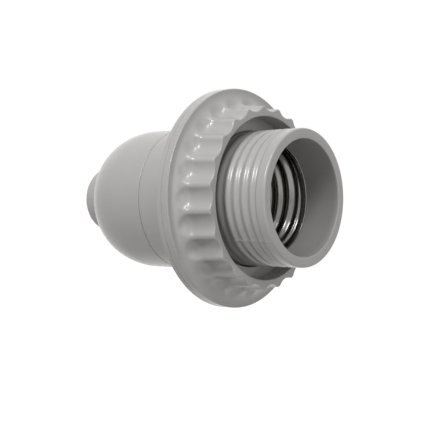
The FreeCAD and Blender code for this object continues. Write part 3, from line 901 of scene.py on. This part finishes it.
def shell_rivets():
    """The lowest one also carries the neutral terminal, so it reaches back to that plate."""
    front_x = SHOULDER_X + SHELL_WALL
    plate_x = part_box("neutral_terminal")[0].x / MM
    hub_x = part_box("contact_block")[0].x / MM
    pieces = []
    for (y, z), back_x in zip(rivet_places(), (plate_x, hub_x, hub_x)):
        pieces.append(rivet("shell_rivet", back_x, front_x, y, z))
    return as_one("shell_rivets_rolled", pieces)


def leaf_rivet():
    low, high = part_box("leaf_rivet")
    back_x, front_x = low.x / MM + RIVET_HEAD_HEIGHT, high.x / MM - RIVET_HEAD_HEIGHT
    return rivet("leaf_rivet_rolled", back_x, front_x, 0, LIVE_RIVET_Z)


# Screws

def slotted_screw(name, length, head_r, head_height, slot, place):
    """A slotted screw with its head at x = 0 and an M3 thread; a head height of 0 makes a headless one."""
    if head_height:
        shank_x = head_height
        top = rounded([
            (0, 0),
            (0, head_r, HEAD_ROUND),
            (shank_x, head_r, HEAD_UNDER_ROUND),
            (shank_x, SCREW_R)])[:-1]
    else:
        shank_x = SCREW_TOP_LENGTH
        top = rounded([(0, 0), (0, head_r, SCREW_TOP_ROUND), (shank_x, head_r)])[:-1]
    shank = divided([(shank_x, SCREW_R), (length - SCREW_TIP_LENGTH, SCREW_R)], SCREW_STEP)
    tip = [(length, SCREW_R - SCREW_TIP_INSET), (length, 0)]
    relief = thread(head_height, length + SCREW_THREAD_PAST, FINE_THREAD_PITCH, FINE_THREAD_DEPTH)
    screw = turned_piece(name, [(top, None), (shank, relief), (tip, None)], even_turns(SCREW_COLUMNS))
    width, depth = slot
    saw(screw, (depth / 2 - SAW_PAST / 2, 0, 0), (depth + SAW_PAST, 2 * head_r + SAW_PAST, width))
    screw.data.transform(place)
    return screw


def nipple_lock_screw():
    low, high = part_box("nipple_lock_screw")
    length = (high.y - low.y) / MM
    place = Matrix.Translation((LOCK_X * MM, high.y, 0)) @ Matrix.Rotation(-math.pi / 2, 4, "Z")
    return slotted_screw("lock_grub_screw", length, SCREW_R, 0, LOCK_SLOT, place)


def terminal_screw(node):
    low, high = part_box(node)
    place = Matrix.Translation((low.x, 0, (low.z + high.z) / 2))
    return slotted_screw(node + "_turned", (high.x - low.x) / MM, HEAD_R, HEAD_HEIGHT, HEAD_SLOT, place)


# Centre contact

def leaf():
    """A bronze strip with a flat foot on the boss, a sloping tongue and a flat, round-ended tip."""
    foot_z = LIVE_RIVET_Z - LEAF_FOOT / 2
    bend_z = PIP_TAIL_R + LEAF_THICK
    low = BOSS_TOP_X + LEAF_THICK / 2
    high = low + LEAF_RISE
    path = np.array(divided(rounded([
        (low, LIVE_RIVET_Z + LEAF_FOOT / 2),
        (low, foot_z, LEAF_BEND_R),
        (high, bend_z, LEAF_BEND_R),
        (high, LEAF_TIP_Z)]), SHEET_STEP))
    along = np.gradient(path, axis=0)
    along /= np.linalg.norm(along, axis=1)[:, None]
    across = np.stack([-along[:, 1], along[:, 0]], axis=1)
    half = LEAF_WIDTH / 2
    to_tip = np.clip(path[:, 1] - LEAF_TIP_Z, 0, half)
    narrowest = 0.002
    reach = half * np.sqrt(np.clip(1 - (1 - to_tip / half) ** 2, narrowest, 1))
    # The strip's section, as shares of its half width and half thickness, with its punched edges broken
    side = np.array([1, 1, 0.97, -0.97, -1, -1, -0.97, 0.97])
    face = np.array([-0.6, 0.6, 1, 1, 0.6, -0.6, -1, -1]) * LEAF_THICK / 2
    x = path[:, :1] + across[:, :1] * face[None, :]
    y = reach[:, None] * side[None, :]
    z = path[:, 1:] + across[:, 1:] * face[None, :]
    return grid_mesh("contact_leaf_bent", np.stack([x, y, z], axis=2), capped=True)


def pip():
    low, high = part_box("centre_contact_pip")
    tail_x, top_x = low.x / MM, high.x / MM
    outline = rounded([
        (tail_x, 0),
        (tail_x, PIP_TAIL_R, PIP_TAIL_ROUND),
        (tail_x + PIP_TAIL_HEIGHT, PIP_TAIL_R),
        (tail_x + PIP_TAIL_HEIGHT, PIP_SHANK_R),
        (top_x - PIP_HEAD_HEIGHT, PIP_SHANK_R),
        (top_x - PIP_HEAD_HEIGHT, PIP_HEAD_R),
        (top_x, PIP_HEAD_R, PIP_HEAD_ROUND),
        (top_x, 0)])
    return turned_piece("contact_pip_staked", [(outline, None)], even_turns(PIP_COLUMNS))


# Camera, floor and light

def camera():
    data = bpy.data.cameras.new("camera")
    data.lens = CAMERA_LENS
    data.clip_start = CAMERA_NEAR
    eye = linked("camera", data)
    eye.location = CAMERA_PLACE
    eye.rotation_euler = Vector(CAMERA_VIEW).to_track_quat("-Z", "Y").to_euler()
    eye.rotation_euler.rotate_axis("Z", math.radians(CAMERA_ROLL_DEG))
    bpy.context.scene.camera = eye


def softbox(name, azimuth, elevation, size, watts):
    """A square soft light that faces the object's middle; its angles are in degrees, its size in metres."""
    data = bpy.data.lights.new(name, "AREA")
    data.size = size
    data.energy = watts
    lamp = linked(name, data)
    around, up = math.radians(azimuth), math.radians(elevation)
    way = Vector((math.cos(around) * math.cos(up), math.sin(around) * math.cos(up), math.sin(up)))
    lamp.location = Vector(OBJECT_MIDDLE) + way * LIGHT_DISTANCE
    lamp.rotation_euler = way.to_track_quat("Z", "Y").to_euler()


def white_studio():
    """A white room that the camera and the gloss see as white, and a floor that keeps the shadow."""
    scene = bpy.context.scene
    scene.view_settings.view_transform = "Standard"
    world = bpy.data.worlds.new("studio")
    scene.world = world
    world.use_nodes = True
    world.node_tree.nodes.clear()
    direct = seen_directly(world)
    level = between(world, direct, "Value", ROOM_LEVEL, 1.0)
    tint = two_colours(world, direct, "Value", ROOM_TINT, "#FFFFFF", low=0, high=1)
    room = add(world, "ShaderNodeBackground", [("Strength", level, "Result"), ("Color", tint, "Color")])
    output = add(world, "ShaderNodeOutputWorld")
    world.node_tree.links.new(room.outputs[0], output.inputs["Surface"])

    bpy.ops.mesh.primitive_plane_add(size=FLOOR_SIZE, location=FLOOR_PLACE)
    floor = bpy.context.object
    floor.name = "floor"
    m = empty_material("floor")
    matt = add(m, "ShaderNodeBsdfDiffuse", Color=linear(FLOOR_COLOUR))
    glow = add(m, "ShaderNodeEmission", [("Strength", seen_directly(m), "Value")], Color=linear("#FFFFFF"))
    both = add(m, "ShaderNodeAddShader")
    m.node_tree.links.new(matt.outputs[0], both.inputs[0])
    m.node_tree.links.new(glow.outputs[0], both.inputs[1])
    floor.data.materials.append(finish_with(m, both))


def seen_directly(material):
    """1 for what the camera, the gloss and clear pieces see, and 0 for the light on matt surfaces."""
    paths = add(material, "ShaderNodeLightPath")
    sees = add(material, "ShaderNodeMath", [(0, paths, "Is Camera Ray"), (1, paths, "Is Glossy Ray")],
               operation="MAXIMUM")
    return add(material, "ShaderNodeMath", [(0, sees, "Value"), (1, paths, "Is Transmission Ray")],
               operation="MAXIMUM")


dress_and_ride(rear_cap(), "rear_cap")
dress_and_ride(front_sleeve(), "front_sleeve")
dress_and_ride(shade_ring(), "shade_ring")
dress_and_ride(screw_shell(), "screw_shell")
dress_and_ride(shell_rivets(), "shell_rivets")
dress_and_ride(nipple_lock_screw(), "nipple_lock_screw")
for side in ("live", "neutral"):
    dress_and_ride(terminal_screw(side + "_terminal_screw"), side + "_terminal_screw")
    dress_and_ride(softened(side + "_washer", side + "_wire_clamp", 0.12), side + "_wire_clamp")
    dress_and_ride(softened(side + "_plate", side + "_terminal", 0.15), side + "_terminal")
dress_and_ride(softened("steatite_block", "contact_block", 0.12), "contact_block")
dress_and_ride(leaf_rivet(), "leaf_rivet")
dress_and_ride(pip(), "centre_contact_pip")
leaf_piece = leaf()
dress(leaf_piece, "centre_contact_leaf")
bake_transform(leaf_piece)

camera()
white_studio()
softbox("left_window", 271, 37, 0.12, 1.9)
softbox("right_window", 316, 50, 0.2, 1.4)
softbox("front_wall", 0, 2, 0.4, 0.75)
softbox("back_wall", 150, 20, 0.8, 0.45)
